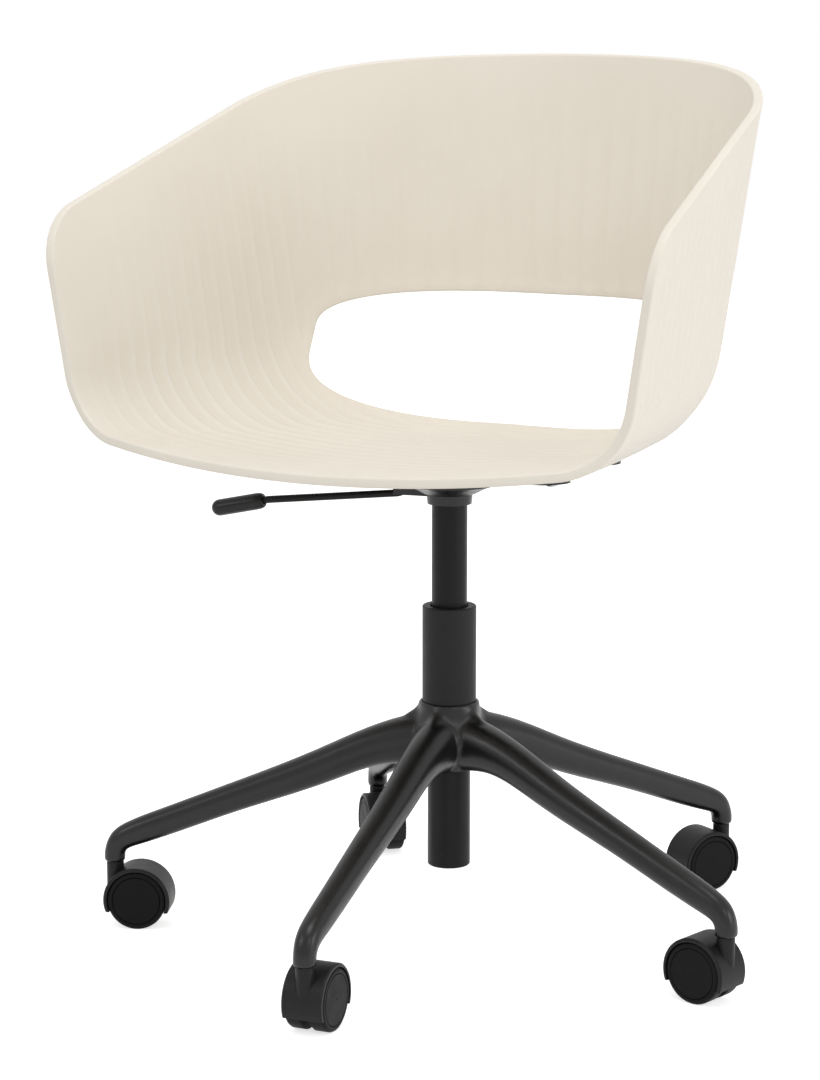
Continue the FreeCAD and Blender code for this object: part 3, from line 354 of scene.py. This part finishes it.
def grip_mesh():
    """Grip turned on its own line: bored for the rod, a rounded shoulder and a domed tip."""
    outward = Vector((math.cos(GRIP_ANGLE), math.sin(GRIP_ANGLE), 0.0))
    root = outward * GRIP_ROOT[0] + Vector((0.0, 0.0, GRIP_ROOT[1]))
    run = outward * GRIP_TIP[0] + Vector((0.0, 0.0, GRIP_TIP[1])) - root
    length = run.length
    along = run.normalized()
    across = Vector((-outward.y, outward.x, 0.0))
    third = along.cross(across)
    dome = [math.pi / 2 * k / GRIP_DOME_STEPS for k in range(GRIP_DOME_STEPS + 1)]
    profile = list(GRIP_BORE + GRIP_SHOULDER)
    profile += [(GRIP_RADIUS * math.cos(t), length - GRIP_RADIUS * (1 - math.sin(t))) for t in dome]
    rows = []
    for step in range(GRIP_TURNS):
        angle = 2 * math.pi * step / GRIP_TURNS
        side = across * math.cos(angle) + third * math.sin(angle)
        rows.append([root + along * s + side * r for r, s in profile])
    points, faces = skin(rows)
    mesh = bpy.data.meshes.new("lever_grip_moulding")
    mesh.from_pydata(points, [], faces)
    join_doubles(mesh)
    return mesh


piece_object("lever_grip_moulding", grip_mesh(), grip_plastic, "lever", "black_plastic", "lever_grip")


# Castors: nylon hoods with a fine spark-eroded skin, duller nylon wheels, blackened steel stems and axles.
# Each hood turns on its stem and carries two wheels on one axle.
hood_nylon = grained_finish("black_hood_nylon", (0.0090, 0.0090, 0.0092), (0.0115, 0.0115, 0.0117),
                            (0.38, 0.46), 70.0, 1800.0, 0.00009, specular=0.18)
wheel_nylon = grained_finish("black_wheel_nylon", (0.0020, 0.0020, 0.0021), (0.0032, 0.0032, 0.0033),
                             (0.46, 0.56), 70.0, 1800.0, 0.00009, specular=0.12)
dark_steel = grained_finish("blackened_steel", (0.02, 0.02, 0.021), (0.03, 0.03, 0.031),
                            (0.35, 0.45), 80.0, 1400.0, 0.00003, metallic=0.6, specular=0.25)
for number in range(1, 6):
    castor = "castor_%d_" % number
    finish_node(castor + "hood", hood_nylon)
    for piece in ("wheel_left", "wheel_right"):
        finish_node(castor + piece, wheel_nylon)
    for piece in ("stem", "axle"):
        finish_node(castor + piece, dark_steel)


# Seat shell: one injection moulding of seat, arms and back in matt cream plastic, screwed to the spider.
# Both faces are scalloped: shallow flutes with narrow crests run down the walls, round the corner and over
# the seat, and fade out toward the rim, the front edge and the opening.
# The crests are also painted a lighter cream, a painted highlight where they would catch the light.
SHELL_WALL = 0.0088
EDGE_ROUND = 0.0017
DATUM_Z = 0.430
HALF_WIDTH = 0.2203
SIDE_LEAN = 0.158
BACK_Y = 0.2221
BACK_LEAN = 0.06
SIDE_START_Y = 0.0607
SIDE_FLARE = 0.171
CORNER_BACK_RADIUS = 0.1526
CORNER_FRONT_RADIUS = 0.0563
CORNER_QUARTER = 0.311
CORNER_LENGTH = 0.694
SEAT_LOW_Y = 0.200
SEAT_LOW_Z = 0.4595
SEAT_CROSS_RADIUS = 1.670
SEAT_LONG_RADIUS = 9.400
FRONT_Y = -0.2101
FRONT_LEAN = -0.025
FRONT_BOW = 0.0534
FRONT_HALF_SPAN = 0.275
FRONT_BLEND = 0.060
RIM_KNEE = (0.1765, 0.8202)
RIM_ARM_SLOPE = 0.3506
RIM_BACK_SLOPE = 0.123
RIM_KNEE_RADIUS = 0.480
ARM_TIP_RADIUS = 0.060
OPENING_CENTRE = (0.1954, 0.5385)
OPENING_TILT = math.radians(14.0)
OPENING_HALF_WIDTH = 0.2115
OPENING_TOP_HEIGHT = 0.0603
OPENING_LOW_HEIGHT = 0.0763
OPENING_TOP_POWER = 2.5
OPENING_LOW_POWER = 3.6
OPENING_REACH = 0.120
BACK_RIBS = 12.8
SIDE_RIBS = 13.2
LINES_PER_RIB = 8
LOW_ROWS = 60
HIGH_ROWS = 34
CURVE_STEPS = 60
FLUTE_DEPTH = 0.0015
FLUTE_POWER = 2.6
FLUTE_BORDER = 0.012
FLUTE_SEAT_SHARE = 0.45
FLUTE_FADE_BACK = 0.06
FLUTE_FADE_SIDE = 0.16
FLUTE_FADE_AHEAD = 0.4
FLUTE_OUTER_FADE = 0.04
FLUTE_FRONT_FADE = 0.004
# Painted highlight on the flute crests: how narrow it is, where it fades up the inner walls, its least share
# there and its lighter cream.
PAINTED_HIGHLIGHT_POWER = 8
PAINTED_HIGHLIGHT_TOP_Z = 0.74
PAINTED_HIGHLIGHT_FADE = 0.22
PAINTED_HIGHLIGHT_LEAST = 0.1
PAINTED_HIGHLIGHT_TINT = (0.812, 0.772, 0.702, 1.0)
OPENING_END_LINES = (0.0, 0.012, 0.045, 0.1, 0.18, 0.28, 0.4, 0.55, 0.72, 0.9, 1.1)
LEAST_LINE_GAP = 0.035
HALVINGS = 40
WALL_STEP = 0.05
SLOPE_STEP = 0.0005


def dish_z(x, y, inset):
    """Height of the dished seat face over a plan point."""
    ring = SEAT_LONG_RADIUS - SEAT_CROSS_RADIUS + np.sqrt(SEAT_CROSS_RADIUS ** 2 - x ** 2)
    return SEAT_LOW_Z + inset + SEAT_LONG_RADIUS - np.sqrt(ring ** 2 - (y - SEAT_LOW_Y) ** 2)


def front_edge_y(x, z):
    """Front edge in plan, less its rounding: a bow over the seat that blends into straight arm fronts."""
    radius = (FRONT_HALF_SPAN ** 2 + FRONT_BOW ** 2) / (2 * FRONT_BOW)
    hub = radius - FRONT_BOW
    blend_x = math.sqrt((radius + FRONT_BLEND) ** 2 - (hub + FRONT_BLEND) ** 2)
    bow_end = blend_x * radius / (radius + FRONT_BLEND)
    across = np.abs(x)
    bow = hub - np.sqrt(radius ** 2 - np.minimum(across, bow_end) ** 2)
    offset = np.clip(across - blend_x, -FRONT_BLEND, 0.0)
    blend = np.sqrt(FRONT_BLEND ** 2 - offset ** 2) - FRONT_BLEND
    local = np.where(across < bow_end, bow, np.where(across < blend_x, blend, 0.0))
    return FRONT_Y + EDGE_ROUND + FRONT_LEAN * (z - DATUM_Z) + local


def arm_tip():
    """Centre and middle of the arm tip's arc, seen from the side, as (y, z)."""
    y, z = FRONT_Y, RIM_KNEE[1]
    for _ in range(30):
        y = FRONT_Y + EDGE_ROUND + FRONT_LEAN * (z - DATUM_Z)
        z = RIM_KNEE[1] - EDGE_ROUND + RIM_ARM_SLOPE * (y - RIM_KNEE[0])
    along = Vector((1.0, RIM_ARM_SLOPE)).normalized()
    down = Vector((-FRONT_LEAN, -1.0)).normalized()
    half = math.acos(along.dot(down)) / 2
    inward = (along + down).normalized()
    radius = ARM_TIP_RADIUS - EDGE_ROUND
    centre = Vector((y, z)) + inward * (radius / math.sin(half))
    return centre, centre - inward * radius, radius


TIP_CENTRE, TIP_MIDDLE, TIP_RADIUS = arm_tip()


def rim_z(y):
    """Height of the rim over a side position, less its rounding."""
    knee_y, knee_z = RIM_KNEE[0], RIM_KNEE[1] - EDGE_ROUND
    low, high = math.atan(RIM_ARM_SLOPE), math.atan(RIM_BACK_SLOPE)
    reach = RIM_KNEE_RADIUS * math.tan((low - high) / 2)
    hub_y = knee_y - reach * math.cos(low) + RIM_KNEE_RADIUS * math.sin(low)
    hub_z = knee_z - reach * math.sin(low) - RIM_KNEE_RADIUS * math.cos(low)
    if y < TIP_CENTRE[0] - TIP_RADIUS * math.sin(low):
        return TIP_CENTRE[1] + math.sqrt(max(TIP_RADIUS ** 2 - (y - TIP_CENTRE[0]) ** 2, 0.0))
    if y < knee_y - reach * math.cos(low):
        return knee_z + RIM_ARM_SLOPE * (y - knee_y)
    if y < knee_y + reach * math.cos(high):
        return hub_z + math.sqrt(RIM_KNEE_RADIUS ** 2 - (y - hub_y) ** 2)
    return knee_z + RIM_BACK_SLOPE * (y - knee_y)


def tip_shift(z):
    """How far the arm's front edge falls back where it turns into the tip's arc."""
    height = np.clip(z, TIP_CENTRE[1] + TIP_RADIUS * FRONT_LEAN, TIP_MIDDLE[1])
    arc = TIP_CENTRE[0] - np.sqrt(TIP_RADIUS ** 2 - (height - TIP_CENTRE[1]) ** 2)
    return np.maximum(arc - front_edge_y(1.0, height), 0.0)


class ShellLine:
    """One flute line of the right half, from the spine over the seat, round the corner and up the wall."""

    def __init__(self, rib, inset):
        self.turn = math.pi / 2 * min(rib / BACK_RIBS, 1.0)
        self.ahead = max(rib - BACK_RIBS, 0.0) / SIDE_RIBS
        self.inset = inset
        self.roll_corner()

    def wall(self, z):
        """Wall point at a height."""
        rise = z - DATUM_Z
        half = HALF_WIDTH + SIDE_LEAN * rise - self.inset
        back = BACK_Y + BACK_LEAN * rise - self.inset
        reach = back - SIDE_START_Y
        y = SIDE_START_Y + reach * np.cos(self.turn)
        if self.ahead:
            straight = SIDE_START_Y + self.ahead * (front_edge_y(1.0, z) - SIDE_START_Y)
            y = straight + self.ahead ** 8 * tip_shift(z)
        x = (half - SIDE_FLARE * reach) * math.sin(self.turn) + SIDE_FLARE * (back - y)
        return x, y

    def seat(self, run, z):
        """Plan point at a run from the spine."""
        if self.ahead:
            return run, SIDE_START_Y + self.ahead * (front_edge_y(run, z) - SIDE_START_Y)
        return self.heading[0] * run, SIDE_START_Y + self.heading[1] * run

    def seat_z(self, run):
        x, y = self.seat(run, SEAT_LOW_Z)
        return dish_z(x, y, self.inset)

    def roll_corner(self):
        """Find the arc that is tangent to the seat curve and to the wall line."""
        quarter = CORNER_QUARTER * self.turn / (math.pi / 2)
        share = (quarter + self.ahead * (SIDE_START_Y - FRONT_Y)) / CORNER_LENGTH
        radius = CORNER_BACK_RADIUS + (CORNER_FRONT_RADIUS - CORNER_BACK_RADIUS) * share - self.inset
        meet_z = SEAT_LOW_Z + radius
        for _ in range(3):
            x, y = self.wall(meet_z)
            higher_x, higher_y = self.wall(meet_z + WALL_STEP)
            away = (x, y - SIDE_START_Y) if not self.ahead else (x, 0.0)
            length = math.hypot(*away)
            self.heading = (away[0] / length, away[1] / length)
            lean = ((higher_x - x) * self.heading[0] + (higher_y - y) * self.heading[1]) / WALL_STEP
            near, far = length - 3 * radius, length + radius
            for _ in range(HALVINGS):
                run = (near + far) / 2
                slope = (self.seat_z(run + SLOPE_STEP) - self.seat_z(run - SLOPE_STEP)) / (2 * SLOPE_STEP)
                norm = math.hypot(slope, 1.0)
                hub = (run - slope / norm * radius, self.seat_z(run) + radius / norm)
                gap = (length + lean * (hub[1] - meet_z) - hub[0]) / math.hypot(1.0, lean)
                near, far = (run, far) if gap > radius else (near, run)
            start = math.atan2(-1.0, slope)
            end = math.atan2(-lean, 1.0)
            meet_z = hub[1] + radius * math.sin(end)
        self.run, self.hub, self.radius = run, hub, radius
        self.start, self.end, self.meet_z = start, end, meet_z

    def points(self):
        """Dense points in three equal shares: seat, corner, wall."""
        runs = np.linspace(0.0, self.run, CURVE_STEPS, endpoint=False)
        x, y = self.seat(runs, SEAT_LOW_Z)
        seat = np.stack([x + 0 * runs, y + 0 * runs, dish_z(x, y, self.inset)], 1)
        angles = np.linspace(self.start, self.end, CURVE_STEPS, endpoint=False)
        z = self.hub[1] + self.radius * np.sin(angles)
        x, y = self.seat(self.hub[0] + self.radius * np.cos(angles), z)
        corner = np.stack([x, y, z], 1)
        near, far = self.meet_z, 1.0
        for _ in range(HALVINGS):
            top = (near + far) / 2
            below = top < rim_z(float(self.wall(top)[1])) + 1e-7
            near, far = (top, far) if below else (near, top)
        z = np.linspace(self.meet_z, top, CURVE_STEPS + 1)
        x, y = self.wall(z)
        wall = np.stack([x + 0 * z, y + 0 * z, z], 1)
        return np.concatenate([seat, corner, wall])


def opening_distance(points, normals):
    """Rough distance along the face from the edge of the oval opening, negative inside it."""
    y, z = points[:, 1] - OPENING_CENTRE[0], points[:, 2] - OPENING_CENTRE[1]
    rise = y * math.sin(OPENING_TILT) + z * math.cos(OPENING_TILT)
    through = y * math.cos(OPENING_TILT) - z * math.sin(OPENING_TILT)
    power = np.where(rise > 0, OPENING_TOP_POWER, OPENING_LOW_POWER)
    across = np.abs(points[:, 0]) / OPENING_HALF_WIDTH
    height = np.where(rise > 0, OPENING_TOP_HEIGHT, OPENING_LOW_HEIGHT)
    climb = np.abs(rise) / height
    gain = np.sign(rise) * power * climb ** (power - 1) / height
    steepest = np.stack([power * across ** (power - 1) / OPENING_HALF_WIDTH, gain * math.sin(OPENING_TILT),
                         gain * math.cos(OPENING_TILT)], 1)
    steepest -= normals * (normals * steepest).sum(1)[:, None]
    distance = (across ** power + climb ** power - 1.0) / np.maximum(np.linalg.norm(steepest, axis=1), 0.1)
    return np.where(through > -OPENING_REACH, distance, 1.0)


def opening_span(line, rear):
    """Places along a line, in steps, where the opening starts and ends, or None."""
    normals = rear - line
    depth = opening_distance(line, normals / np.linalg.norm(normals, axis=1)[:, None]) - EDGE_ROUND
    inside = np.nonzero(depth < 0)[0]
    if len(inside) == 0:
        return None
    first, last = inside[0], inside[-1]
    start = first - depth[first] / (depth[first] - depth[first - 1])
    end = last + depth[last] / (depth[last] - depth[last + 1])
    return start, end


def end_of_opening():
    """Rib count at which the opening ends on the side, and the height of that end."""
    near, far = 4.0, BACK_RIBS + 2.0
    for _ in range(24):
        rib = (near + far) / 2
        span = opening_span(ShellLine(rib, SHELL_WALL).points(), ShellLine(rib, 0.0).points())
        near, far = (rib, far) if span else (near, rib)
    line = ShellLine(near, SHELL_WALL).points()
    start, end = opening_span(line, ShellLine(near, 0.0).points())
    return far, float(np.interp((start + end) / 2, np.arange(len(line)), line[:, 2]))


def flute_count(rib, face):
    """Flutes counted from the middle of the back: by line ahead, by the turn round the back behind."""
    if rib >= BACK_RIBS:
        return np.full(len(face), rib)
    reach = BACK_Y + BACK_LEAN * (face[:, 2] - DATUM_Z) - SHELL_WALL - SIDE_START_Y
    turn = np.arccos(np.clip((face[:, 1] - SIDE_START_Y) / reach, 0.0, 1.0))
    return BACK_RIBS * turn / (math.pi / 2)


def shell_grid():
    """Inner and outer points of the right half by line and row, their painted highlight shares, and the line
    where the opening ends.
    """
    opening_rib, opening_z = end_of_opening()
    even = np.arange(0, (BACK_RIBS + SIDE_RIBS) * LINES_PER_RIB + 0.5) / LINES_PER_RIB
    close = opening_rib - np.array(OPENING_END_LINES)
    even = even[np.abs(even[:, None] - close[None, :]).min(1) > LEAST_LINE_GAP]
    ribs = np.sort(np.concatenate([even, close]))
    opening_line = int(np.argmin(np.abs(ribs - opening_rib)))
    inner, outer, inner_painted_highlight, outer_painted_highlight = [], [], [], []
    for number, rib in enumerate(ribs):
        face = ShellLine(rib, SHELL_WALL).points()
        rear = ShellLine(rib, 0.0).points()
        steps = np.arange(len(face))
        length = np.concatenate([[0.0], np.cumsum(np.linalg.norm(np.diff(face, axis=0), axis=1))])
        span = opening_span(face, rear) if number < opening_line else None
        if span is None:
            split = float(np.interp(opening_z, face[CURVE_STEPS:, 2], steps[CURVE_STEPS:]))
            span = (split, split)
        low, high = np.interp(span, steps, length)
        places = np.concatenate([np.linspace(0.0, low, LOW_ROWS), np.linspace(high, length[-1], HIGH_ROWS)])
        at = np.interp(places, length, steps)
        face = np.stack([np.interp(at, steps, face[:, k]) for k in range(3)], 1)
        rear = np.stack([np.interp(at, steps, rear[:, k]) for k in range(3)], 1)
        through = rear - face
        through /= np.linalg.norm(through, axis=1)[:, None]
        phase = flute_count(rib, face) % 1.0
        ridge = np.abs(2 * phase - 1)
        clear = np.clip((opening_distance(face, through) - EDGE_ROUND) / FLUTE_BORDER, 0.0, 1.0)
        from_rim = length[-1] - places - FLUTE_BORDER
        side = min(rib / BACK_RIBS, 1.0)
        ahead = max(rib - BACK_RIBS, 0.0) / SIDE_RIBS
        from_front = (1.0 - ahead) * (SIDE_START_Y - FRONT_Y) - FLUTE_BORDER
        calm = FLUTE_SEAT_SHARE + (1.0 - FLUTE_SEAT_SHARE) * np.clip(at / CURVE_STEPS, 0.0, 1.0)
        fade = FLUTE_FADE_BACK + (FLUTE_FADE_SIDE - FLUTE_FADE_BACK) * side
        sunk = clear * calm * np.clip(from_rim / fade, 0.0, 1.0)
        sunk *= np.clip((1.0 - ahead) / FLUTE_FADE_AHEAD, 0.0, 1.0)
        cut = clear * np.clip(from_rim / FLUTE_OUTER_FADE, 0.0, 1.0)
        cut *= np.clip(from_front / FLUTE_FRONT_FADE, 0.0, 1.0)
        flute = FLUTE_DEPTH * (1 - ridge ** FLUTE_POWER)
        inner.append(face + through * (flute * sunk)[:, None])
        outer.append(rear - through * (flute * cut)[:, None])
        # Painted highlight share: narrow on the crests; inside strongest on the side walls and low down,
        # outside wherever the flutes are cut.
        lower = np.clip((PAINTED_HIGHLIGHT_TOP_Z - face[:, 2]) / PAINTED_HIGHLIGHT_FADE, PAINTED_HIGHLIGHT_LEAST, 1.0)
        inner_painted_highlight.append(ridge ** PAINTED_HIGHLIGHT_POWER * sunk * side ** 3 * lower)
        outer_painted_highlight.append(ridge ** PAINTED_HIGHLIGHT_POWER * cut)
    return np.array(inner), np.array(outer), np.array([inner_painted_highlight, outer_painted_highlight]), opening_line


def edge_sign(away, loop, inner, rows):
    """Plus or minus one, so that away points out of the material a quarter of the way round the loop."""
    quarter = len(loop) // 4
    line, row = loop[quarter]
    back = row - 1 if row in (rows - 1, LOW_ROWS - 1) else row + 1
    out = inner[line, row] - inner[line, back]
    return 1.0 if np.dot(away[quarter], out) > 0 else -1.0


def shell_mesh():
    """Closed mesh of the shell: two fluted faces and rounded edges round the rim and the opening, with a
    painted highlight share for each point.
    """
    inner, outer, painted_highlight, opening_line = shell_grid()
    painted_highlight = np.concatenate([painted_highlight[:, :0:-1], painted_highlight], 1).ravel()
    flip = np.array([-1.0, 1.0, 1.0])
    inner = np.concatenate([inner[:0:-1] * flip, inner])
    outer = np.concatenate([outer[:0:-1] * flip, outer])
    lines, rows = inner.shape[:2]
    middle = lines // 2
    points = [inner.reshape(-1, 3), outer.reshape(-1, 3)]
    offset = lines * rows

    def index(line, row):
        return line * rows + row

    faces = []
    for line in range(lines - 1):
        for row in range(rows - 1):
            if row == LOW_ROWS - 1:
                continue
            quad = [index(line, row), index(line + 1, row), index(line + 1, row + 1), index(line, row + 1)]
            faces.append(quad)
            faces.append([offset + k for k in quad[::-1]])
    last = lines - 1
    rise = [row for row in range(rows) if row != LOW_ROWS]
    rim = [(last, row) for row in rise] + [(line, rows - 1) for line in range(last - 1, -1, -1)]
    rim += [(0, row) for row in rise[-2:0:-1]]
    left, right = middle - opening_line, middle + opening_line
    hole = [(line, LOW_ROWS - 1) for line in range(left, right + 1)]
    hole += [(line, LOW_ROWS) for line in range(right - 1, left, -1)]
    count = 2 * offset
    bend = np.radians([30.0, 60.0, 90.0])
    for loop in (rim, hole):
        a = np.array([inner[k] for k in loop])
        b = np.array([outer[k] for k in loop])
        through = b - a
        through /= np.linalg.norm(through, axis=1)[:, None]
        along = np.roll(a + b, -1, axis=0) - np.roll(a + b, 1, axis=0)
        away = np.cross(along, through)
        away /= np.linalg.norm(away, axis=1)[:, None]
        away *= edge_sign(away, loop, inner, rows)
        drop, swell = EDGE_ROUND * (1 - np.cos(bend)), EDGE_ROUND * np.sin(bend)
        rings = [a + through * drop[k] + away * swell[k] for k in (0, 1, 2)]
        rings += [b - through * drop[k] + away * swell[k] for k in (2, 1, 0)]
        starts = [[index(*k) for k in loop]]
        for ring in rings:
            starts.append(list(range(count, count + len(loop))))
            points.append(ring)
            count += len(loop)
        starts.append([offset + index(*k) for k in loop])
        for low, high in zip(starts, starts[1:]):
            for k in range(len(loop)):
                m = (k + 1) % len(loop)
                faces.append([low[k], low[m], high[m], high[k]])
    points = np.concatenate(points)
    return points, faces, np.concatenate([painted_highlight, np.zeros(len(points) - len(painted_highlight))])


def cream_moulding():
    """Matt cream plastic: faint clouding, a soft sheen, the fine grain of an eroded mould and a painted
    highlight on the flute crests.
    """
    material = grained_finish("cream_moulding", (0.768, 0.716, 0.632), (0.788, 0.738, 0.654), (0.50, 0.58),
                              9.0, 2400.0, 0.00005, specular=0.35)
    tree = material.node_tree
    colour = tree.nodes["Principled BSDF"].inputs["Base Color"]
    # Painted highlight: a lighter cream mixed in along the flute crests by the attribute, where they would
    # catch the light.
    painted_highlight = tree.nodes.new("ShaderNodeAttribute")
    painted_highlight.attribute_name = "painted_highlight"
    lit = tree.nodes.new("ShaderNodeMixRGB")
    lit.inputs["Color2"].default_value = PAINTED_HIGHLIGHT_TINT
    tree.links.new(painted_highlight.outputs["Fac"], lit.inputs["Fac"])
    tree.links.new(colour.links[0].from_socket, lit.inputs["Color1"])
    tree.links.new(lit.outputs["Color"], colour)
    return material


points, faces, painted_highlight = shell_mesh()
mesh = bpy.data.meshes.new("seat_shell_moulding")
mesh.from_pydata(points.tolist(), [], faces)
# The painted highlight share of each point rides on the mesh as an attribute for the cream material.
mesh.attributes.new("painted_highlight", "FLOAT", "POINT").data.foreach_set("value", painted_highlight)
join_doubles(mesh)
piece_object("seat_shell_moulding", mesh, cream_moulding(), "seat", "shell", "seat_shell")
